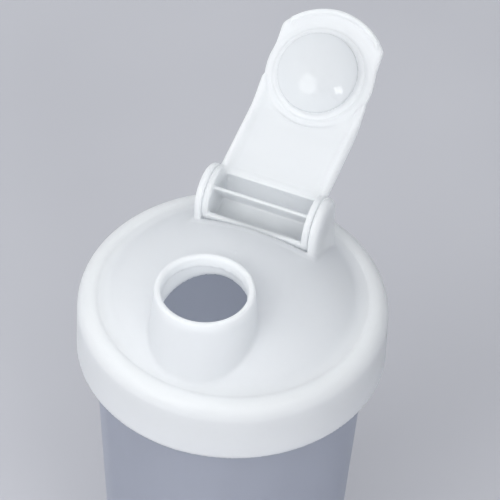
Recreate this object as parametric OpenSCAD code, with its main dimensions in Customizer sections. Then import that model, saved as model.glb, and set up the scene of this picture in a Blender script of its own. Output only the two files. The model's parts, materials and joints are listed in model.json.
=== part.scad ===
// Protein shaker bottle: translucent cup, white screw lid with an off-centre drinking spout,
// and a flip cap that swings on stub pins between two ears and plugs the spout.
// Millimetres, +Z up, origin at the centre of the cup's base, spout towards -Y, hinge towards +Y.

/* [Cup] */
// Height of the cup from its base to the bottom edge of the lid
body_h = 148; // [130:1:170]
// Outer radius of the cup's foot
foot_r = 38.9; // [38:0.1:40]
// Thickness of the cup wall
cup_wall = 1.8; // [1.4:0.1:2]
// Thickness of the cup floor
floor_t = 3; // [2:0.1:4]

/* [Lid] */
// Outer radius of the skirt at its lower edge
skirt_r = 50.4; // [50.2:0.1:51]
// Height of the crown of the dome above the skirt's lower edge
crown_h = 41.1; // [40.5:0.1:41.3]
// Outer radius of the spout at its lip
spout_r = 15.5; // [15.5:0.1:15.7]
// Height of the spout lip above the skirt's lower edge
lip_h = 46.7; // [46.4:0.1:46.7]

/* [Flip cap] */
// Angle by which the cap stands open
open_angle = 142; // [0:1:142]
// Thickness of the cap's arm
arm_t = 1.8; // [1.5:0.1:2]
// Depth by which the crown of the plug stands out of its collar
plug_depth = 7.2; // [6:0.1:7.4]

/* [Hidden] */
$fn = 96;

// screw joint between cup and lid
lead = 6;                // rise in one turn
thread_turns = 1.25;
thread_steps = 48;       // rings in one turn
neck_r = 45;             // outside of the cup's neck
neck_h = 17.2;           // neck above the skirt's lower edge
cup_thread_r = 47;       // crest of the cup's thread
cup_thread_z = 5;        // start of the cup's thread above the skirt's lower edge
lid_thread_r = 46;       // crest of the lid's thread
lid_thread_z = cup_thread_z - lead / 2;
thread_base_w = 2.2;
thread_crest_w = 1.1;
thread_root = 0.6;       // depth of the thread's root inside its wall

// cup
body_r = 44.5;           // outside of the cup where the lid's skirt ends
foot_round = 3;
floor_round = 4;

// lid shell
skirt_in_r = 48.2;
ceiling_h = 18.9;        // underside of the gutter
shoulder_r = 50;
shoulder_h = 16.1;
rim_r = 44.8;            // highest ring of the shoulder
rim_h = 21.7;
dome_foot = [41, 20.9];
dome_wall = 1.3;

// spout
spout_y = -24;
lip_out = 0.8;           // rounding of the lip's outer edge
lip_in = 1.2;            // rounding of its inner edge, down to the mouth's bore
ledge_r = 13.05;         // narrowest ring of the mouth
ledge_top = 43.3;
ledge_low = 42.6;
spout_wall = 1.35;

// hinge, measured from the skirt's lower edge
hinge_y = 24.1;
hinge_h = 38.5;
ear_r = 9.35;
ear_in = 18.4;
ear_out = 21.2;
ear_flare_h = 34;        // the ear's outer face spreads a little below this height
ear_flare = 0.1;
pin_r = 3;
pin_gap = 0.05;
pin_end = 19.9;
pin_hole_end = 20.2;
well_r = 9.4;
saddle_r = 11.2;

// flip cap, measured from the hinge axis with the cap closed
barrel_r = 9.2;
trough_r = 7.3;
trough_back = 0.4;       // the trough lies this much behind the hinge axis
cheek_in = 16.2;
cheek_out = 18.2;
arm_half = 17.8;
arm_under = 9.9;         // underside of the flat part of the arm
plug_u = hinge_y - spout_y;
tip_r = 22.3;
tip_round = 3;
rib_u = 0.66;
rib_t = 1;
rib_low = -7.8;
bar_angle = 208;
arm_root = [0, -4.34];   // the arm's underside, drawn on to the plane of the hinge axis
boss_r = 18.4;           // round boss behind the plug, a little wider than the arm
collar_r = 15.35;
collar_low = 8.6;

// lid seal
seal_in = 42.8;
seal_out = 46.4;
seal_gap = 0.05;

function arc(c, r, a0, a1, n = 8) =
  [for (i = [0:n]) let (a = a0 + (a1 - a0) * i / n) [c[0] + r * cos(a), c[1] + r * sin(a)]];

function bezier(p, n = 20) = [for (i = [0:n]) let (t = i / n, s = 1 - t)
  p[0] * s * s * s + p[1] * 3 * t * s * s + p[2] * 3 * t * t * s + p[3] * t * t * t];

function reversed(v) = [for (i = [len(v) - 1:-1:0]) v[i]];

// one trapezoid of a thread at angle a: root radius, crest radius, height of its middle
function thread_ring(a, root, crest, z) = [
  [root * cos(a), root * sin(a), z - thread_base_w / 2],
  [crest * cos(a), crest * sin(a), z - thread_crest_w / 2],
  [crest * cos(a), crest * sin(a), z + thread_crest_w / 2],
  [root * cos(a), root * sin(a), z + thread_base_w / 2]];

// a screw thread swept as a closed solid; flip turns the faces for a thread that points inwards
module thread(root, crest, z0, flip = false) {
  n = thread_steps * thread_turns;
  pts = [for (i = [0:n]) each thread_ring(360 * i / thread_steps, root, crest, z0 + lead * i / thread_steps)];
  sides = [for (i = [0:n - 1], k = [0:3]) let (a = 4 * i + k, b = 4 * i + (k + 1) % 4)
    each [[a, b, b + 4], [a, b + 4, a + 4]]];
  caps = [[3, 2, 1, 0], [4 * n, 4 * n + 1, 4 * n + 2, 4 * n + 3]];
  faces = concat(sides, caps);
  polyhedron(points = pts, faces = flip ? [for (f = faces) reversed(f)] : faces, convexity = 6);
}

/* ---------- cup ---------- */

module cup() color("lightsteelblue", 0.6) {
  in_foot = foot_r - cup_wall;
  in_body = body_r - cup_wall;
  rotate_extrude(convexity = 6) polygon(concat(
    [[0, 0]],
    arc([foot_r - foot_round, foot_round], foot_round, -90, 0, 6),
    [[body_r, body_h], [neck_r, body_h + 2], [neck_r, body_h + neck_h - 0.5],
     [neck_r - 0.5, body_h + neck_h], [neck_r - cup_wall + 0.4, body_h + neck_h],
     [neck_r - cup_wall, body_h + neck_h - 0.4], [neck_r - cup_wall, body_h + 2], [in_body, body_h]],
    arc([in_foot + 0.2 - floor_round, floor_t + floor_round], floor_round, 0, -90, 6),
    [[0, floor_t]]));
  translate([0, 0, body_h]) thread(neck_r - thread_root, cup_thread_r, cup_thread_z);
}

/* ---------- seal between the cup's rim and the lid ---------- */

module lid_seal() color("gainsboro") {
  low = body_h + neck_h + seal_gap;
  high = body_h + ceiling_h - seal_gap;
  rotate_extrude(convexity = 4) polygon([
    [seal_in + 0.3, low], [seal_out - 0.3, low], [seal_out, low + 0.3], [seal_out, high - 0.3],
    [seal_out - 0.3, high], [seal_in + 0.3, high], [seal_in, high - 0.3], [seal_in, low + 0.3]]);
}

/* ---------- screw lid ---------- */

function dome_curve(drop) = bezier([[0, crown_h - drop], [18 - drop / 4, crown_h - 3.6 - drop],
  [31 - drop * 0.7, 32 - drop * 0.8], dome_foot - [drop * 1.1, drop]]);

module lid_body() {
  shoulder = [for (a = [0:9:90])
    [rim_r + (shoulder_r - rim_r) * cos(a), shoulder_h + (rim_h - shoulder_h) * sin(a)]];
  rotate_extrude(convexity = 4) polygon(concat(
    [[0, 0], [skirt_r - 0.2, 0], [skirt_r, 0.2]], shoulder,
    [[rim_r - 1, rim_h - 0.3], [rim_r - 1.4, rim_h - 0.9], [dome_foot[0] + 1, dome_foot[1]]],
    reversed(dome_curve(0))));
}

module lid_cavity() {
  rotate_extrude(convexity = 4) polygon(concat(
    [[0, -1], [skirt_in_r + 0.6, -1], [skirt_in_r + 0.6, 0], [skirt_in_r, 1],
     [skirt_in_r, ceiling_h - 1], [skirt_in_r - 1, ceiling_h], [dome_foot[0] - 0.5, ceiling_h]],
    reversed(dome_curve(dome_wall))));
}

// outside of the spout, from inside the dome up to its rounded lip
module spout_body() translate([0, spout_y, 0])
  rotate_extrude(convexity = 4) polygon(concat(
    [[0, dome_foot[1]], [spout_r + 1.6, dome_foot[1]], [spout_r + 1.2, 31], [spout_r + 0.8, 38]],
    arc([spout_r - lip_out, lip_h - lip_out], lip_out, 0, 90, 6),
    [[0, lip_h]]));

// hollow of the spout: rounded mouth, bore, ledge, and the wider space below the ledge
module spout_hollow() translate([0, spout_y, 0])
  rotate_extrude(convexity = 4) polygon(concat(
    [[0, lip_h + 1], [spout_r - lip_out, lip_h + 1]],
    arc([spout_r - lip_out, lip_h - lip_in], lip_in, 90, 180, 8),
    [[ledge_r + 0.3, ledge_top], [ledge_r, ledge_top - 0.2], [ledge_r, ledge_low],
     [spout_r + 0.85 - spout_wall, ledge_low - 0.4], [spout_r + 1.45 - spout_wall, dome_foot[1] - 3],
     [0, dome_foot[1] - 3]]));

// cylinder along X about the hinge axis, between two distances from the middle
module hinge_rod(r, x0, x1) translate([x0, hinge_y, hinge_h]) rotate([0, 90, 0]) cylinder(r = r, h = x1 - x0);

// one ear: round top, straight sides down into the dome, outer face spreading at the foot
module ear() difference() {
  width = ear_out + ear_flare * 14 - ear_in;
  union() {
    hinge_rod(ear_r, ear_in, ear_in + width);
    translate([ear_in, hinge_y - ear_r, dome_foot[1]])
      cube([width, 2 * ear_r, hinge_h - dome_foot[1]]);
  }
  translate([ear_out, hinge_y, ear_flare_h]) rotate([90, 0, 0])
    linear_extrude(height = 4 * ear_r, center = true)
      polygon([[0, 0], [0, 20], [20, 20], [20, -20 / ear_flare], [20 * ear_flare, -20]]);
}

module screw_lid() color("white") translate([0, 0, body_h]) {
  difference() {
    union() {
      difference() {
        union() {
          lid_body();
          spout_body();
          ear();
          mirror([1, 0, 0]) ear();
        }
        lid_cavity();
      }
      intersection() {
        lid_body();
        hinge_rod(saddle_r, -ear_out, ear_out);
      }
    }
    hinge_rod(well_r, -ear_in, ear_in);
    hinge_rod(pin_r + pin_gap, ear_in - 1, pin_hole_end);
    hinge_rod(pin_r + pin_gap, -pin_hole_end, 1 - ear_in);
    spout_hollow();
  }
  thread(skirt_in_r + thread_root, lid_thread_r, lid_thread_z, true);
}

/* ---------- flip cap, drawn closed with the hinge axis at the origin; u runs towards the spout ---------- */

// a side view in u and height, made solid across the cap between two distances from the middle
module across(x0, x1) translate([x0, 0, 0]) rotate([90, 0, 90]) linear_extrude(height = x1 - x0)
  mirror([1, 0]) children();

// the arm's underside from the trough's edge to the bend, and then flat
arm_line = [[8, -1.6], [17, 2.7], [23.3, 5.4], [29, 8], [32.5, 9.3], [36, arm_under]];

// the side walls hang below the underside and fade out near the plug
wall_line = [[6, -3.4], [10.8, -1.6], [22.2, 3.3], [30.7, 6.7], [37, 9.2], [42, arm_under]];
wall_t = 1.6;

module arm_side_view() difference() {
  polygon(concat(
    arm_line, [[plug_u + tip_r + 1, arm_under], [plug_u + tip_r + 1, arm_under + arm_t]],
    reversed([for (p = arm_line) p + [-0.4, arm_t + 0.1]])));
  mouth_wedge();
}

module wall_side_view() polygon(concat(wall_line, [for (p = reversed(arm_line)) p + [0, 0.5]], [[6, 2]]));

// the arm seen from above, with its round end about the plug
module arm_plan() {
  corner = arm_half - tip_round;
  reach = sqrt((tip_r - tip_round) * (tip_r - tip_round) - corner * corner);
  a = atan2(reach, corner);
  linear_extrude(height = 60, center = true) rotate(180) translate([0, plug_u]) polygon(concat(
    [[arm_half, -60]], arc([corner, reach], tip_round, 0, a, 4), arc([0, 0], tip_r, a, 180 - a, 24),
    arc([-corner, reach], tip_round, 180 - a, 180, 4), [[-arm_half, -60]]));
}

// boss, collar, straight wall and domed crown of the plug, about the plug's own axis
module plug_body() {
  wall_r = 13.3;
  crown_r = 13.1;
  sag = 4.2;
  crown_top = collar_low - plug_depth + sag;
  boss_top = arm_under + arm_t - 0.2;
  ball_r = (crown_r * crown_r + sag * sag) / (2 * sag);
  half = asin(crown_r / ball_r);
  rotate_extrude(convexity = 4) polygon(concat(
    [[0, boss_top], [boss_r, boss_top], [boss_r, arm_under + 0.1], [collar_r + 0.4, arm_under - 0.3],
     [collar_r, collar_low + 0.2], [collar_r - 0.2, collar_low], [wall_r + 1.1, collar_low],
     [wall_r + 0.5, collar_low - 0.4], [wall_r + 0.2, collar_low - 0.9], [wall_r, collar_low - 1.5],
     [wall_r, crown_top + 0.4]],
    arc([0, crown_top - sag + ball_r], ball_r, -90 + half, -90, 12)));
}

// dished hollow in the outer face of the cap, which leaves the plug a thin shell
module plug_dish() {
  dish_r = 10.4;
  low = collar_low - plug_depth + 1.6;
  rim = collar_low - 0.6;
  sag = rim - low;
  ball_r = (dish_r * dish_r + sag * sag) / (2 * sag);
  half = asin(dish_r / ball_r);
  rotate_extrude(convexity = 4) polygon(concat(
    [[0, arm_under + arm_t + 1], [dish_r + 0.8, arm_under + arm_t + 1]],
    arc([0, low + ball_r], ball_r, -90 + half, -90, 12)));
}

// thumb lip along the round end, trimmed to the arm's outline
module thumb_lip() intersection() {
  rotate_extrude(convexity = 4) polygon([
    [tip_r - 1.9, arm_under + 0.3], [tip_r - 1.7, arm_under - 1.1], [tip_r + 0.4, arm_under - 1.1],
    [tip_r + 0.4, arm_under + 0.3]]);
  translate([-15.3, -2 * tip_r, 0]) cube([30.6, 2 * tip_r, 20]);
}

// the side on which the barrel is open, from the bar round to the arm's underside
module mouth_wedge() polygon([[0, 0], 30 * [cos(bar_angle), sin(bar_angle)], [0, -40], [arm_line[1][0], -40],
  arm_line[1], arm_root]);

module barrel_ring() difference() {
  circle(r = barrel_r);
  translate([-trough_back, 0]) circle(r = trough_r);
  mouth_wedge();
}

module rib_view() intersection() {
  translate([rib_u - rib_t / 2, rib_low]) square([rib_t, trough_r + 1 - rib_low]);
  circle(r = barrel_r - 0.5);
}

module cap_closed() difference() {
  union() {
    across(-cheek_in - 0.5, cheek_in + 0.5) barrel_ring();
    across(-cheek_in - 0.5, cheek_in + 0.5) rib_view();
    across(cheek_in, cheek_out) circle(r = barrel_r);
    across(-cheek_out, -cheek_in) circle(r = barrel_r);
    across(cheek_out - 0.5, pin_end) circle(r = pin_r);
    across(-pin_end, 0.5 - cheek_out) circle(r = pin_r);
    intersection() {
      union() {
        across(-arm_half, arm_half) arm_side_view();
        across(arm_half - wall_t, arm_half) wall_side_view();
        across(-arm_half, wall_t - arm_half) wall_side_view();
        translate([0, -plug_u, 0]) thumb_lip();
      }
      arm_plan();
    }
    translate([0, -plug_u, 0]) plug_body();
  }
  translate([0, -plug_u, 0]) plug_dish();
}

module flip_cap() color("whitesmoke")
  translate([0, hinge_y, body_h + hinge_h]) rotate([-open_angle, 0, 0]) cap_closed();

cup();
lid_seal();
screw_lid();
flip_cap();
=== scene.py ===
"""Protein shaker bottle: the visible meshes, materials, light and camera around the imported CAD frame.

Lid and cap are moulded forms: each is written as a signed distance, whose smooth unions give the
fillets of a moulding, and is meshed with surface nets. Cup and seal are turned profiles. Shapes are
worked out in millimetres, with the lid's heights measured from the skirt's lower edge, and are scaled
to metres when a mesh is made.
"""
import json
import math

import bmesh
import bpy
import numpy as np
from mathutils import Matrix, Vector


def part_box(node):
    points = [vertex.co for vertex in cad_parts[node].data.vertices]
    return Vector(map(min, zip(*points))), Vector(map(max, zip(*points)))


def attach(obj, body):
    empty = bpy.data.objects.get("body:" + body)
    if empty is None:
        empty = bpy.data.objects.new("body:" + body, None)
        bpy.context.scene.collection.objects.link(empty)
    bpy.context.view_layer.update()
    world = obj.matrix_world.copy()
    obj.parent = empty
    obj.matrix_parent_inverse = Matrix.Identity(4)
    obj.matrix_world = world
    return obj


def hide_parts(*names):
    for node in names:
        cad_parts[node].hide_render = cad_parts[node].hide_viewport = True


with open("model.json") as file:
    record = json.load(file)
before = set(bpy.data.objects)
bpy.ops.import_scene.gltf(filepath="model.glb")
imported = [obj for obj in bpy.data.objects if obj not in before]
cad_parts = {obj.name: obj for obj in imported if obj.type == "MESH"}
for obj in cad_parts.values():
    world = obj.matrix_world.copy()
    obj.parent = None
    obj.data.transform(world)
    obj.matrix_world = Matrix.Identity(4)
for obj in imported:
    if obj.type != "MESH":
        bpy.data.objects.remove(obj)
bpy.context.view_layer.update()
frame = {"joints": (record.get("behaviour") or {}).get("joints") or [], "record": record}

MM = 0.001
FAR = -30                # well left of an outline's axis, where the side that closes it lies

# ------------------------------------------------ places taken from the frame, in millimetres

_, cup_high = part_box("cup")
lid_low, lid_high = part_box("screw_lid")
_, cap_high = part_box("flip_cap")
seal_low, seal_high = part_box("lid_seal")
flip_joint = next(j for j in frame["joints"] if j["name"] == "cap_flip")
spout_box = next(o for o in frame["record"]["physics"]["openings"] if o["name"] == "spout")["box_m"]

LID_Z = lid_low.z / MM
SKIRT_R = lid_high.x / MM
SPOUT_Y = (spout_box[0][1] + spout_box[1][1]) / 2 / MM
HINGE_Y = flip_joint["pos_m"][1] / MM
HINGE_H = flip_joint["pos_m"][2] / MM - LID_Z
OPEN_ANGLE = flip_joint["range_deg"][1]
EAR_R = (lid_high.z / MM - LID_Z) - HINGE_H
PIN_END = cap_high.x / MM
NECK_H = cup_high.z / MM - LID_Z
CUP_THREAD_R = cup_high.x / MM

# ------------------------------------------------ outlines


def arc(cx, cy, radius, start, end, steps=10):
    """Points on a circle between two angles in degrees."""
    angles = np.radians(np.linspace(start, end, steps + 1))
    return [(cx + radius * math.cos(a), cy + radius * math.sin(a)) for a in angles]


def bezier(p0, p1, p2, p3, steps=60):
    """Points on a cubic curve with the four control points."""
    t = np.linspace(0, 1, steps + 1)[:, None]
    p0, p1, p2, p3 = (np.array(p, float) for p in (p0, p1, p2, p3))
    curve = p0 * (1 - t) ** 3 + 3 * p1 * t * (1 - t) ** 2 + 3 * p2 * t * t * (1 - t) + p3 * t**3
    return [tuple(p) for p in curve]


# ------------------------------------------------ signed distances, negative inside


def outline_distance(points, x, y):
    """Signed distance to a closed outline."""
    tiny = 1e-12
    nearest = np.full(x.shape, np.inf)
    inside = np.zeros(x.shape, bool)
    for (ax, ay), (bx, by) in zip(points, points[1:] + points[:1]):
        ex, ey = bx - ax, by - ay
        square = ex * ex + ey * ey
        if square < tiny:
            continue
        along = np.clip(((x - ax) * ex + (y - ay) * ey) / square, 0, 1)
        nearest = np.minimum(nearest, (x - ax - along * ex) ** 2 + (y - ay - along * ey) ** 2)
        if ay != by:
            inside ^= ((ay > y) != (by > y)) & (x < ax + (y - ay) * ex / ey)
    return np.where(inside, -1, 1) * np.sqrt(nearest)


def outline(points, step=0.12, margin=6.0, low_x=-3.0):
    """Points left of low_x only close the outline."""
    shown = np.array([p for p in points if p[0] > low_x])
    x0, y0 = max(low_x, shown[:, 0].min() - margin), shown[:, 1].min() - margin
    nx, ny = (int((shown[:, i].max() + margin - (x0, y0)[i]) / step) + 2 for i in (0, 1))
    grid = np.meshgrid(x0 + step * np.arange(nx), y0 + step * np.arange(ny), indexing="ij")
    table = outline_distance(points, *grid)

    def distance(x, y):
        fx = np.clip((x - x0) / step, 0, nx - 1.001)
        fy = np.clip((y - y0) / step, 0, ny - 1.001)
        i, j = fx.astype(int), fy.astype(int)
        fx, fy = fx - i, fy - j
        return ((table[i, j] * (1 - fx) + table[i + 1, j] * fx) * (1 - fy)
                + (table[i, j + 1] * (1 - fx) + table[i + 1, j + 1] * fx) * fy)

    return distance


def join(a, b, soft):
    """Union with a fillet of about 0.8 times soft."""
    h = np.clip(0.5 + 0.5 * (b - a) / soft, 0, 1)
    return b + (a - b) * h - soft * h * (1 - h)


def common(a, b, soft):
    """Intersection with an edge rounded by about 0.8 times soft."""
    return -join(-a, -b, soft)


def cut(a, b, soft):
    """a without b, with a rounded edge."""
    return common(a, -b, soft)


def highest(*distances):
    """Intersection with sharp edges."""
    return np.maximum.reduce(distances)


# ------------------------------------------------ surface nets


def net(distance, low, high, cell, block=5, slack=0.9, settle=3):
    """Points and quads of the surface where distance is zero, inside the box from low to high.

    Blocks of cells that the surface can't reach are skipped; slack allows for distances that read too
    long. Each point is then moved settle times along the gradient onto the surface itself, so the mesh
    has no steps."""
    low = np.array(low, float)
    blocks = np.ceil((np.array(high, float) - low) / (cell * block)).astype(int)
    centres = [low[i] + cell * block * (np.arange(blocks[i]) + 0.5) for i in range(3)]
    coarse = distance(*np.meshgrid(*centres, indexing="ij"))
    reach = cell * block * math.sqrt(3) / 2 + slack
    far = 9
    values = np.sign(coarse) * far
    for axis in range(3):
        values = np.repeat(values, block, axis)
    values = np.pad(values, ((0, 1),) * 3, mode="edge")
    near = np.argwhere(np.abs(coarse) < reach)
    offsets = np.stack(np.meshgrid(*[np.arange(block + 1)] * 3, indexing="ij"), -1).reshape(-1, 3)
    blocks_at_once = 1500
    for part in np.array_split(near, max(1, len(near) // blocks_at_once)):
        nodes = (part[:, None, :] * block + offsets[None]).reshape(-1, 3)
        at = low + cell * nodes
        values[nodes[:, 0], nodes[:, 1], nodes[:, 2]] = distance(at[:, 0], at[:, 1], at[:, 2])

    solid = values < 0
    corners = [(i, j, k) for i in (0, 1) for j in (0, 1) for k in (0, 1)]
    size = np.array(values.shape) - 1
    count = sum(solid[i:size[0] + i, j:size[1] + j, k:size[2] + k].astype(np.int8)
                for i, j, k in corners)
    cells = np.argwhere((count > 0) & (count < 8))
    number = np.full(size, -1)
    number[cells[:, 0], cells[:, 1], cells[:, 2]] = np.arange(len(cells))

    at_corner = {c: values[cells[:, 0] + c[0], cells[:, 1] + c[1], cells[:, 2] + c[2]] for c in corners}
    total, crossings = np.zeros((len(cells), 3)), np.zeros(len(cells))
    for start in corners:
        for axis in range(3):
            if start[axis]:
                continue
            end = tuple(1 if i == axis else start[i] for i in range(3))
            a, b = at_corner[start], at_corner[end]
            crossed = (a < 0) != (b < 0)
            share = np.where(crossed, a / np.where(crossed, a - b, 1), 0)
            place = np.array(start, float)[None] + share[:, None] * (np.arange(3) == axis)
            total += place * crossed[:, None]
            crossings += crossed
    points = low + cell * (cells + total / crossings[:, None])

    nudge, least_slope, tiny = 0.02, 0.2, 1e-9
    for _ in range(settle):
        here = distance(*points.T)
        nudged = [distance(*(points + nudge * (np.arange(3) == i)).T) for i in range(3)]
        slope = np.stack([(there - here) / nudge for there in nudged], 1)
        step = slope * (here / np.maximum((slope**2).sum(1), least_slope))[:, None]
        length = np.linalg.norm(step, axis=1)
        points = points - step * np.minimum(1, 0.5 * cell / np.maximum(length, tiny))[:, None]

    quads = []
    for axis in range(3):
        b, c = (axis + 1) % 3, (axis + 2) % 3
        first = np.take(solid, range(size[axis]), axis)
        second = np.take(solid, range(1, size[axis] + 1), axis)
        edges = np.argwhere(first != second)
        leaving = first[tuple(edges.T)]
        ring = []
        for db, dc in ((0, 0), (-1, 0), (-1, -1), (0, -1)):
            around = edges.copy()
            around[:, b] += db
            around[:, c] += dc
            ring.append(number[tuple(around.T)])
        ring = np.stack(ring, 1)
        quads.append(np.where(leaving[:, None], ring, ring[:, ::-1]))
    return points, np.concatenate(quads)


def mesh_piece(name, points, quads, body, slot, *replaced):
    """A smooth mesh object from points in metres, riding on a CAD body in place of CAD nodes."""
    mesh = bpy.data.meshes.new(name)
    mesh.vertices.add(len(points))
    mesh.vertices.foreach_set("co", np.asarray(points, np.float32).ravel())
    mesh.loops.add(quads.size)
    mesh.loops.foreach_set("vertex_index", quads.ravel().astype(np.int32))
    mesh.polygons.add(len(quads))
    mesh.polygons.foreach_set("loop_start", np.arange(0, quads.size, 4, dtype=np.int32))
    mesh.update(calc_edges=True)
    mesh.validate()
    weld = 1e-6
    bm = bmesh.new()
    bm.from_mesh(mesh)
    bmesh.ops.remove_doubles(bm, verts=bm.verts, dist=weld)
    bmesh.ops.dissolve_degenerate(bm, dist=weld, edges=bm.edges)
    bmesh.ops.recalc_face_normals(bm, faces=bm.faces)
    bm.to_mesh(mesh)
    bm.free()
    mesh.shade_smooth()
    piece = bpy.data.objects.new(name, mesh)
    bpy.context.scene.collection.objects.link(piece)
    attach(piece, body)
    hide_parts(*replaced)
    return piece


# ------------------------------------------------ screw lid

LEAD = 6.0
THREAD_TURNS = 1.25
THREAD_CREST = 0.55      # half width of the ridge at its crest
THREAD_BASE = 1.1        # and at its base
RUN_OUT = 7.0            # length over which each end of a ridge dies away

DOME_CURVE = ((0, 41.1), (18, 37.5), (31, 32), (41, 20.9))


def dome_line(drop):
    """The dome's curve, lowered for its inner face, and rounded off at the crown."""
    scale = np.array([(0, -1), (-0.25, -1), (-0.7, -0.8), (-1.1, -1)]) * drop
    line = bezier(*(np.array(DOME_CURVE) + scale))
    crown, slope = 3.0, 0.2
    return [(r, z - slope * (math.hypot(r, crown) - r)) for r, z in line]


def lid_distance():
    """The lid's signed distance as a function of x, y and the height above the skirt's lower edge."""
    skirt_round, skirt_in, ceiling_h, dome_wall = 0.2, 48.2, 18.9, 1.3
    shoulder_r, shoulder_h, rim_r, rim_h, rim_floor = 50.0, 16.1, 44.8, 21.7, 21.3
    skirt = [(FAR, 0)] + arc(SKIRT_R - skirt_round, skirt_round, skirt_round, -90, 0, 6)
    shoulder = [(rim_r + (shoulder_r - rim_r) * math.cos(a),
                 shoulder_h + (rim_h - shoulder_h) * math.sin(a))
                for a in np.linspace(0, math.pi / 2, 30)]
    rim_edge = [(44.2, 21.66), (43.9, 21.6), (43.7, 21.5), (43.6, rim_floor)]
    rim_body = outline(skirt + shoulder + rim_edge + [(FAR, rim_floor)])

    dome_out, dome_in, dome_r, dome_root = dome_line(0), dome_line(dome_wall), 41, 8
    dome_body = outline(dome_out + [(dome_r, dome_root), (FAR, dome_root), (FAR, dome_out[0][1])])
    inside = outline([(FAR, -8), (skirt_in + 0.6, -8), (skirt_in + 0.6, 0), (skirt_in, 0.9),
                      (skirt_in, ceiling_h - 1), (skirt_in - 1, ceiling_h), (40.5, ceiling_h)]
                     + dome_in[::-1] + [(FAR, dome_in[0][1])])

    lip_h, lip_r, lip_out, lip_in, ledge_r, ledge_low = 46.7, 15.5, 0.8, 1.2, 13.05, 42.6
    foot_r, hole_low, hole_high = 17.1, 17.9, 60
    spout_body = outline([(FAR, 10), (foot_r, 10), (foot_r, 20.9), (16.7, 31), (16.3, 38)]
                         + arc(lip_r - lip_out, lip_h - lip_out, lip_out, 0, 90, 10) + [(FAR, lip_h)])
    mouth = outline([(FAR, hole_high), (lip_r - lip_out, hole_high)]
                    + arc(lip_r - lip_out, lip_h - lip_in, lip_in, 90, 180, 12)
                    + [(13.4, 43.6), (13.3, 43.3), (ledge_r, 43.15), (ledge_r, ledge_low),
                       (15.0, ledge_low - 0.4), (15.6, hole_low), (FAR, hole_low)])

    ear_in, ear_out, flare_h, flare = 18.4, 21.2, 34.0, 0.1
    stem_low, well_r, saddle_r = 15, 9.4, 11.2
    pin_hole_r, pin_hole_start, pin_hole_end = 3.05, ear_in - 1, PIN_END + 0.3
    gate_r, gate_h = 1.0, 0.25
    thread_crest_r, thread_root_r, thread_z = 46.0, 48.8, 2.0

    def distance(x, y, z):
        r, across = np.hypot(x, y), np.abs(x)
        hinge = np.hypot(y - HINGE_Y, z - HINGE_H)
        body = join(rim_body(r, z), dome_body(r, z), 2.4)
        body = join(body, np.hypot(r, z - dome_out[0][1] + gate_r - gate_h) - gate_r, 0.3)
        spout = np.hypot(x, y - SPOUT_Y)
        outer = join(body, spout_body(spout, z), 0.9)
        stem = np.hypot(y - HINGE_Y, z - np.clip(z, stem_low, HINGE_H)) - EAR_R
        spread = ear_out + flare * np.maximum(0, flare_h - z)
        ear = common(common(stem, across - spread, 2.2), ear_in - across, 0.5)
        outer = join(outer, ear, 0.7)
        shell = cut(outer, inside(r, z), 0.4)
        saddle = highest(body, hinge - saddle_r, across - ear_out)
        shell = join(shell, saddle, 1.0)
        shell = cut(shell, np.maximum(hinge - well_r, across - ear_in), 0.7)
        shell = cut(shell, mouth(spout, z), 0.35)
        pin_hole = highest(hinge - pin_hole_r, pin_hole_start - across, across - pin_hole_end)
        shell = np.maximum(shell, -pin_hole)
        ridge = thread_distance(x, y, z, thread_root_r, thread_crest_r, thread_z)
        return join(shell, ridge, 0.4)

    return distance


def thread_distance(x, y, z, root, crest, start):
    """A ridge on the inside of a wall that climbs one lead a turn from the height start at angle 0."""
    slant = 0.98             # cosine of a flank's slope
    r, turn = np.hypot(x, y), (np.arctan2(y, x) / (2 * math.pi)) % 1
    nearest = np.full(r.shape, 1e3)
    for k in range(int(THREAD_TURNS) + 1):
        turned = turn + k
        left = np.minimum(turned, THREAD_TURNS - turned) * 2 * math.pi * crest
        ramp = np.clip(left / RUN_OUT, 0, 1)
        top = root + (crest - root) * ramp * ramp * (3 - 2 * ramp)
        rise = (root - r) / (root - crest)
        half = THREAD_BASE + (THREAD_CREST - THREAD_BASE) * rise
        flank = (np.abs(z - start - LEAD * turned) - half) * slant
        nearest = np.minimum(nearest, highest(top - r, flank, r - root, -left))
    return nearest


# ------------------------------------------------ flip cap

PLUG_U = HINGE_Y - SPOUT_Y
CROWN_R = 13.1


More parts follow.
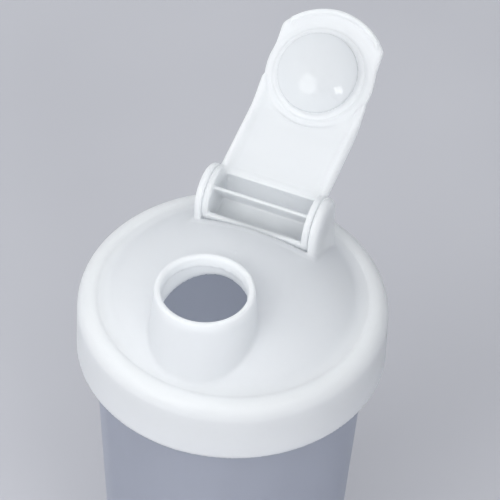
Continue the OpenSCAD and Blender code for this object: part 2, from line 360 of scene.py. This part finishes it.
def cap_distance():
    """The cap's signed distance as a function of x, u towards the spout and w up.

    The cap is drawn closed, with its hinge axis at the origin."""
    barrel_r, trough_r, trough_back = 9.2, 7.3, 0.4
    cheek_in, cheek_out, pin_r = 16.2, 18.2, 2.93
    bar_angle, sunk = 208.0, 0.5
    arm_half, arm_t, arm_under, draft, draft_h = 17.8, 1.8, 9.9, 0.16, 6
    tip_r, tip_round, wall_t = 22.3, 3.0, 1.6
    lip_w, lip_h, lip_half = 1.8, 1.1, 15.3
    rib_u, rib_t, rib_low = 0.66, 1.0, -7.8
    groove_r, groove_ball, groove_depth = 16.2, 1.3, 0.75
    collar_r, collar_low, plug_depth, boss_r = 15.35, 8.6, 7.2, 18.4

    root_w = -4.34           # height at which the arm's underside, drawn on, meets the hinge's plane
    arm_line = [(8, -1.6), (17, 2.7), (23.3, 5.4), (29, 8), (32.5, 9.3), (36, arm_under)]
    wedge_u, wedge_w = arm_line[1]
    root_angle = math.degrees(math.atan2(wedge_w - root_w, wedge_u))
    wall_line = [(6, -3.4), (10.8, -1.6), (22.2, 3.3), (30.7, 6.7), (37, 9.2), (42, arm_under)]
    end = PLUG_U + tip_r + 1
    arm_side = outline(arm_line + [(end, arm_under), (end, arm_under + arm_t)]
                       + [(u - 0.4, w + arm_t + 0.1) for u, w in arm_line[::-1]])
    wall_side = outline(wall_line + [(u, w + 0.5) for u, w in arm_line[::-1]] + [(6, 2)])

    corner = arm_half - tip_round
    reach = math.sqrt((tip_r - tip_round) ** 2 - corner**2)
    turn = math.degrees(math.atan2(reach, corner))
    plan = outline([(FAR, -60), (arm_half, -60)] + arc(corner, reach, tip_round, 0, turn, 8)
                   + arc(0, 0, tip_r, turn, 90, 20) + [(FAR, tip_r)])

    sag = 4.2
    crown_low = collar_low - plug_depth
    crown_top = crown_low + sag
    ball_r = (CROWN_R**2 + sag**2) / (2 * sag)
    half = math.degrees(math.asin(CROWN_R / ball_r))
    collar = [(18, arm_under + 0.1), (17.2, arm_under - 0.1), (16.2, arm_under - 0.2)]
    collar += [(15.65, arm_under - 0.4), (collar_r, arm_under - 0.8), (collar_r, collar_low + 0.15)]
    collar += [(collar_r - 0.15, collar_low)]
    plug_side = [(14.4, collar_low), (13.8, 8.3), (13.5, 7.9), (13.35, 7.2), (13.3, crown_top + 0.4)]
    crown = arc(0, crown_top - sag + ball_r, ball_r, -90 + half, -90, 60)
    plug = outline([(FAR, arm_under + 0.8), (18, arm_under + 0.8)] + collar + plug_side + crown
                   + [(FAR, crown_low)])
    crown_wall, dish_r, dish_flare, dish_drop = 1.6, 10.4, 0.2, 0.6
    dish_low = crown_low + crown_wall
    dish_sag = collar_low - dish_drop - dish_low
    dish_ball = (dish_r**2 + dish_sag**2) / (2 * dish_sag)

    def above(angle, u, w):
        """Signed distance from the line through the axis at an angle, positive on its left."""
        return math.cos(math.radians(angle)) * w - math.sin(math.radians(angle)) * u

    def distance(x, u, w):
        across, axis = np.abs(x), np.hypot(u, w)
        wedge = highest(np.minimum(above(root_angle, u, w - root_w), u), -above(bar_angle, u, w),
                        u - wedge_u)
        tube = np.maximum(axis - barrel_r, trough_r - np.hypot(u + trough_back, w))
        barrel = np.maximum(cut(tube, wedge, 0.5), across - cheek_in - sunk)
        rib = highest(np.abs(u - rib_u) - rib_t / 2, rib_low - w, axis - barrel_r + sunk,
                      across - cheek_in - sunk)
        cheek_half = (cheek_out - cheek_in) / 2
        cheek = common(axis - barrel_r, np.abs(across - cheek_in - cheek_half) - cheek_half, 0.5)
        pin = common(np.maximum(axis - pin_r, cheek_in + sunk - across), across - PIN_END, 0.4)
        back = np.interp(u, *np.array(arm_line).T) + arm_t
        edge = plan(across + draft * np.clip(back - w, 0, draft_h), u - PLUG_U)
        arm = common(np.maximum(arm_side(u, w), -wedge), edge, 0.6)
        wall = common(wall_side(u, w), np.maximum(arm_half - wall_t - across, edge), 0.8)
        body = join(arm, wall, 3.0)
        from_plug = np.hypot(x, u - PLUG_U)
        boss = common(from_plug - boss_r, np.abs(w - arm_under - arm_t / 2) - arm_t / 2 + 0.05, 0.6)
        body = join(body, boss, 0.5)
        groove_w = arm_under + groove_depth - groove_ball
        groove = np.hypot(from_plug - groove_r, w - groove_w) - groove_ball
        body = join(cut(body, groove, 1.2), plug(from_plug, w), 0.2)
        lip = highest(tip_r - lip_w - from_plug, edge, across - lip_half, arm_under - lip_h - w,
                      w - arm_under - sunk, PLUG_U - u)
        body = join(body, lip + 0.1, 0.9)
        body = join(body, join(barrel, rib, 0.5), 0.5)
        body = join(body, join(cheek, pin, 0.3), 0.6)
        bowl = np.sqrt(from_plug**2 + (w - dish_low - dish_ball) ** 2) - dish_ball
        dish = common(bowl, from_plug - dish_r - dish_flare * (w - collar_low), 0.8)
        return cut(body, dish, 0.8)

    return distance


# ------------------------------------------------ cup and seal


def turned(profile, columns):
    """A profile of radius and height turned about Z.

    Gives rows of points, with the first column repeated at the end."""
    angle = 2 * math.pi * np.arange(columns + 1) / columns
    r, z = np.array(profile, float).T
    height = np.repeat(z[:, None], columns + 1, 1)
    return np.stack([np.outer(r, np.cos(angle)), np.outer(r, np.sin(angle)), height], -1)


def threaded(radius, low, high, crest, start, columns, rows_per_lead=24):
    """The outside of a neck whose rows of points climb with its thread."""
    base = THREAD_BASE - 0.1
    step = LEAD / rows_per_lead
    turn = (np.arange(columns + 1) / columns)[None]
    row = np.arange(-rows_per_lead, math.ceil((high - low) / step) + 1)[:, None]
    z = low + row * step + LEAD * turn
    turned_by = np.round((z - start) / LEAD - turn) + turn
    off = np.abs(z - start - LEAD * turned_by)
    left = np.minimum(turned_by, THREAD_TURNS - turned_by) * 2 * math.pi * radius
    ramp = np.clip(left / RUN_OUT, 0, 1)
    rise = np.clip((base - off) / (base - THREAD_CREST), 0, 1)
    r = radius + (crest - radius) * ramp * ramp * (3 - 2 * ramp) * rise
    z = np.clip(z, low, high)
    angle = 2 * math.pi * turn
    return np.stack([r * np.cos(angle), r * np.sin(angle), z + 0 * angle], -1)


def quads_of(strips):
    """Points and quads of several strips of rows of points."""
    points, quads, done = [], [], 0
    for strip in strips:
        rows, columns = strip.shape[:2]
        number = done + np.arange(rows * columns).reshape(rows, columns)
        ring = [number[:-1, :-1], number[:-1, 1:], number[1:, 1:], number[1:, :-1]]
        quads.append(np.stack([n.ravel() for n in ring], 1))
        points.append(strip.reshape(-1, 3))
        done += rows * columns
    return np.concatenate(points) * MM, np.concatenate(quads)


def make_cup():
    """The tapered beaker, with its thread round the neck."""
    foot_r, foot_round, wall, floor_t, floor_round = 38.9, 3.0, 1.8, 3.0, 4.0
    body_r, neck_r, thread_start, columns = 44.5, 45.0, 5.0, 240
    top, rim_out, rim_in = LID_Z + NECK_H, 0.6, 0.5
    neck_low, neck_high = LID_Z + 2, top - rim_out
    side = [(foot_r + (body_r - foot_r) * t, foot_round + (LID_Z - foot_round) * t)
            for t in np.linspace(0, 1, 30)]
    outside = ([(0, 0), (12, 0), (24, 0)]
               + arc(foot_r - foot_round, foot_round, foot_round, -90, 0, 12)[:-1] + side)
    rim = (arc(neck_r - rim_out, neck_high, rim_out, 0, 90, 6)
           + arc(neck_r - wall + rim_in, top - rim_in, rim_in, 90, 180, 6))
    inner_body, inner_foot = body_r - wall, foot_r - wall + 0.2
    inner_side = [(neck_r - wall, neck_low)]
    inner_side += [(inner_body + (inner_foot - inner_body) * t,
                    LID_Z + (floor_t + floor_round - LID_Z) * t)
                   for t in np.linspace(0, 1, 24)[:-1]]
    floor = arc(inner_foot - floor_round, floor_t + floor_round, floor_round, 0, -90, 12)
    inside = rim + inner_side + floor + [(20, floor_t), (10, floor_t), (0, floor_t)]
    strips = [turned(outside + [(neck_r, neck_low)], columns),
              threaded(neck_r, neck_low, neck_high, CUP_THREAD_R, LID_Z + thread_start, columns),
              turned(inside, columns)]
    return mesh_piece("cup_shell", *quads_of(strips), "cup_body", "cup", "cup")


def make_seal():
    """A soft ring with a bead on its upper and lower faces."""
    inner, outer = 42.8, seal_high.x / MM
    low, high = seal_low.z / MM, seal_high.z / MM
    soft, dip = 0.35, 0.12
    top = [(outer - soft - (outer - inner - 2 * soft) * t, high - dip + dip * math.cos(4 * math.pi * t))
           for t in np.linspace(0, 1, 24)[1:-1]]
    under = [(r, low + high - z) for r, z in top[::-1]]
    profile = (arc(outer - soft, high - soft, soft, 0, 90, 5) + top
               + arc(inner + soft, high - soft, soft, 90, 180, 5)
               + arc(inner + soft, low + soft, soft, 180, 270, 5) + under
               + arc(outer - soft, low + soft, soft, 270, 360, 5))
    ring = quads_of([turned(profile + profile[:1], 200)])
    return mesh_piece("seal_ring", *ring, "seal_body", "seal", "lid_seal")


def make_lid(cell=0.6, spare=2):
    """The lid, meshed from its skirt's lower edge up and then raised to its place."""
    high = lid_high / MM
    side, top = high.x + spare, high.z - LID_Z + spare
    points, quads = net(lid_distance(), (-side, -side, -spare), (side, side, top), cell)
    points[:, 2] += LID_Z
    return mesh_piece("lid_shell", points * MM, quads, "lid_body", "lid", "screw_lid")


def near_crown(points):
    """Which points, closed and in millimetres, lie on the crown of the plug, which gets a glossy finish
    and painted shade.
    """
    x, y, w = points.T
    margin, highest_w = 0.5, 7.0
    return (np.hypot(x, y + PLUG_U) < CROWN_R + margin) & (w < highest_w)


def make_cap(cell=0.45, spare=2):
    """The cap, meshed closed and then swung open."""
    shape = cap_distance()
    low = -PIN_END - spare, -PLUG_U - 25, -11
    high = PIN_END + spare, 12, 14.5
    points, quads = net(lambda x, y, w: shape(x, -y, w), low, high, cell)
    # The crown's faces take the second material: a real glossy finish, with painted shade in its darker
    # white.
    crown_polished_shaded = near_crown(points[quads].mean(1))         # the second material slot
    turn = np.array(Matrix.Rotation(math.radians(-OPEN_ANGLE), 3, "X"))
    points = points @ turn.T + np.array([0, HINGE_Y, HINGE_H + LID_Z])
    piece = mesh_piece("cap_shell", points * MM, quads, "cap_body", "cap", "flip_cap")
    piece.data.polygons.foreach_set("material_index", crown_polished_shaded.astype(np.int32))
    return piece


# ------------------------------------------------ materials


PLASTIC_IOR = 1.49


class Nodes:
    """A material's node tree, with short calls to add and link its nodes."""

    def __init__(self, name):
        self.material = bpy.data.materials.new(name)
        self.material.use_nodes = True
        self.tree = self.material.node_tree
        self.tree.nodes.clear()
        self.place = self.add("ShaderNodeTexCoord").outputs["Object"]

    def add(self, kind, **values):
        node = self.tree.nodes.new(kind)
        for name, value in values.items():
            setattr(node, name, value)
        return node

    def link(self, source, target):
        self.tree.links.new(source, target)

    def noise(self, scale, detail=4.0, stretch=(1, 1, 1)):
        """Noise in object space. Scale is in features per metre."""
        mapping = self.add("ShaderNodeMapping")
        mapping.inputs["Scale"].default_value = stretch
        self.link(self.place, mapping.inputs["Vector"])
        noise = self.add("ShaderNodeTexNoise")
        noise.inputs["Scale"].default_value = scale
        noise.inputs["Detail"].default_value = detail
        self.link(mapping.outputs[0], noise.inputs["Vector"])
        return noise.outputs["Fac"]

    def span(self, value, low, high):
        """Maps noise from its usual 0.3 to 0.7 onto low to high."""
        ranged = self.add("ShaderNodeMapRange")
        ranged.inputs["From Min"].default_value = 0.3
        ranged.inputs["From Max"].default_value = 0.7
        ranged.inputs["To Min"].default_value = low
        ranged.inputs["To Max"].default_value = high
        self.link(value, ranged.inputs["Value"])
        return ranged.outputs[0]

    def mix(self, factor, a, b):
        mixed = self.add("ShaderNodeMix", data_type="RGBA")
        mixed.inputs["A"].default_value = (*a, 1)
        mixed.inputs["B"].default_value = (*b, 1)
        self.link(factor, mixed.inputs["Factor"])
        return mixed.outputs["Result"]

    def bump(self, height, distance, strength=1.0, normal=None):
        bump = self.add("ShaderNodeBump")
        bump.inputs["Strength"].default_value = strength
        bump.inputs["Distance"].default_value = distance
        self.link(height, bump.inputs["Height"])
        if normal is not None:
            self.link(normal, bump.inputs["Normal"])
        return bump.outputs[0]

    def blend(self, share, first, second):
        """A shader with the given share of the second one."""
        mixed = self.add("ShaderNodeMixShader")
        mixed.inputs[0].default_value = share
        self.link(first.outputs[0], mixed.inputs[1])
        self.link(second.outputs[0], mixed.inputs[2])
        return mixed

    def output(self, shader):
        self.link(shader.outputs[0], self.add("ShaderNodeOutputMaterial").inputs["Surface"])
        return self.material


def white_plastic(name, rough=(0.36, 0.46), grain=0.00002, wave=0.00008, dim=1.0):
    """White moulded polypropylene: a little translucent, with a satin grain and faint variation."""
    n = Nodes(name)
    shader = n.add("ShaderNodeBsdfPrincipled")
    whites = (0.925, 0.94, 0.955), (0.94, 0.955, 0.97)
    low, high = [tuple(dim * c for c in white) for white in whites]
    colour = n.mix(n.span(n.noise(28, 3), 0, 1), low, high)
    n.link(colour, shader.inputs["Base Color"])
    n.link(n.span(n.noise(900, 5), *rough), shader.inputs["Roughness"])
    mould = n.bump(n.noise(60, 2), wave, 0.6)
    n.link(n.bump(n.noise(3500, 3), grain, 0.5, mould), shader.inputs["Normal"])
    shader.inputs["IOR"].default_value = PLASTIC_IOR
    shader.inputs["Subsurface Weight"].default_value = 0.9
    shader.inputs["Subsurface Radius"].default_value = (1.0, 1.0, 1.0)
    shader.inputs["Subsurface Scale"].default_value = 0.004
    through = n.add("ShaderNodeBsdfTranslucent")
    n.link(colour, through.inputs["Color"])
    return n.output(n.blend(0.38, shader, through))


def frosted_plastic(name):
    """Natural polypropylene of the cup: some light goes straight through and some is scattered."""
    n = Nodes(name)
    shader = n.add("ShaderNodeBsdfPrincipled")
    cloud = n.span(n.noise(22, 3, (1, 1, 0.35)), 0, 1)
    n.link(n.mix(cloud, (0.48, 0.49, 0.545), (0.53, 0.54, 0.60)), shader.inputs["Base Color"])
    n.link(n.span(n.noise(1200, 4), 0.34, 0.5), shader.inputs["Roughness"])
    n.link(n.bump(n.noise(2600, 4), 0.00003, 0.5), shader.inputs["Normal"])
    shader.inputs["IOR"].default_value = PLASTIC_IOR
    through = n.add("ShaderNodeBsdfTranslucent")
    n.link(n.mix(cloud, (0.75, 0.78, 0.85), (0.81, 0.84, 0.90)), through.inputs["Color"])
    clear = n.add("ShaderNodeBsdfTransparent")
    clear.inputs["Color"].default_value = (0.93, 0.95, 0.98, 1)
    return n.output(n.blend(0.25, n.blend(0.45, shader, through), clear))


def silicone(name):
    """Soft off-white rubber of the seal."""
    n = Nodes(name)
    shader = n.add("ShaderNodeBsdfPrincipled")
    colour = n.mix(n.span(n.noise(90, 3), 0, 1), (0.70, 0.70, 0.68), (0.76, 0.76, 0.74))
    n.link(colour, shader.inputs["Base Color"])
    n.link(n.span(n.noise(1500, 4), 0.45, 0.6), shader.inputs["Roughness"])
    n.link(n.bump(n.noise(4000, 3), 0.00002, 0.5), shader.inputs["Normal"])
    shader.inputs["Subsurface Weight"].default_value = 0.2
    shader.inputs["Subsurface Radius"].default_value = (1.0, 1.0, 1.0)
    shader.inputs["Subsurface Scale"].default_value = 0.001
    return n.output(shader)


def floor_paper(name):
    """Plain pale paper."""
    n = Nodes(name)
    shader = n.add("ShaderNodeBsdfPrincipled")
    colour = n.mix(n.span(n.noise(6, 2), 0, 1), (0.47, 0.47, 0.505), (0.50, 0.50, 0.535))
    n.link(colour, shader.inputs["Base Color"])
    shader.inputs["Roughness"].default_value = 0.8
    return n.output(shader)


# ------------------------------------------------ stage, light and camera


LIGHT_AIM = Vector((0, 0, LID_Z + 30)) * MM         # the point in the lid that every light faces


def make_floor():
    """A sheet of paper that reaches well past the picture's edges."""
    half = 4.0
    corners = [(-half, -half, 0), (half, -half, 0), (half, half, 0), (-half, half, 0)]
    mesh = bpy.data.meshes.new("floor")
    mesh.from_pydata(corners, [], [(0, 1, 2, 3)])
    floor = bpy.data.objects.new("floor", mesh)
    floor.data.materials.append(floor_paper("floor_paper"))
    bpy.context.scene.collection.objects.link(floor)


def area_light(name, at, direction, size, power, colour, shape="DISK", mirrored=False):
    """A soft light that stands off from a point and faces the lid; only mirrored ones show in gloss."""
    distance = 1.35
    data = bpy.data.lights.new(name, "AREA")
    data.shape, data.size, data.energy, data.color = shape, size, power, colour
    light = bpy.data.objects.new(name, data)
    way = Vector(direction).normalized()
    light.location = at + way * distance
    light.rotation_mode = "QUATERNION"
    light.rotation_quaternion = (light.location - LIGHT_AIM).to_track_quat("Z", "Y")
    light.visible_glossy = mirrored
    bpy.context.scene.collection.objects.link(light)


def make_lights():
    """Two lights that show in the plug, four soft ones for the lid, and a faint sky."""
    plug = Vector((0, 62, 216)) * MM                     # the open cap's plug
    area_light("key", plug, (-0.30, -0.79, 0.535), 0.8, 6.0, (0.99, 1, 0.99), mirrored=True)
    area_light("window", plug, (0.58, -0.635, 0.51), 0.3, 2.1, (1, 1, 0.97), "SQUARE", mirrored=True)
    area_light("front", LIGHT_AIM, (0.2533, -0.658, 0.709), 2.2, 17.2, (0.96, 0.98, 0.99))
    area_light("left", LIGHT_AIM, (-1, 0, 0.5), 1.3, 7.0, (0.98, 1, 1))
    area_light("back_left", LIGHT_AIM, (-0.5, 0.9, 0.5), 1.4, 3.8, (0.97, 1, 1))
    area_light("back_right", LIGHT_AIM, (0.6, 0.8, 0.5), 1.4, 1.9, (0.97, 1, 1))
    world = bpy.data.worlds.new("studio")
    world.use_nodes = True
    background = world.node_tree.nodes["Background"]
    background.inputs[0].default_value = (0.91, 0.94, 1, 1)
    background.inputs[1].default_value = 0.34
    bpy.context.scene.world = world
    bpy.context.scene.view_settings.view_transform = "Standard"


def make_camera():
    """The camera stands in front and to the right, above the lid, and is tipped slightly."""
    azimuth, elevation, roll = (math.radians(a) for a in (21.05, 45.15, 2.76))
    distance, aim = 0.75, Vector((-3.2, 21.1, LID_Z + 20.7)) * MM
    level_out = math.cos(elevation)
    back = Vector((math.sin(azimuth) * level_out, -math.cos(azimuth) * level_out, math.sin(elevation)))
    data = bpy.data.cameras.new("camera")
    data.sensor_width, data.lens = 36.0, 165.6
    camera = bpy.data.objects.new("camera", data)
    camera.rotation_mode = "QUATERNION"
    camera.location = aim + back * distance
    level = (-back).to_track_quat("-Z", "Y")
    camera.rotation_quaternion = level @ Matrix.Rotation(roll, 3, "Z").to_quaternion()
    bpy.context.scene.collection.objects.link(camera)
    bpy.context.scene.camera = camera


# ------------------------------------------------ the model

make_cup().data.materials.append(frosted_plastic("cup_natural_pp"))
make_seal().data.materials.append(silicone("seal_silicone"))
make_lid().data.materials.append(white_plastic("lid_white_pp"))
cap = make_cap()
cap.data.materials.append(white_plastic("cap_white_pp", dim=0.98))
# The crown's copy has the real glossy finish (low roughness), and its white is darkened to 0.88 as
# painted shade.
cap.data.materials.append(white_plastic("cap_polished_shaded_pp", rough=(0.025, 0.04), grain=0.000002,
                                        wave=0.00001, dim=0.88))
make_floor()
make_lights()
make_camera()
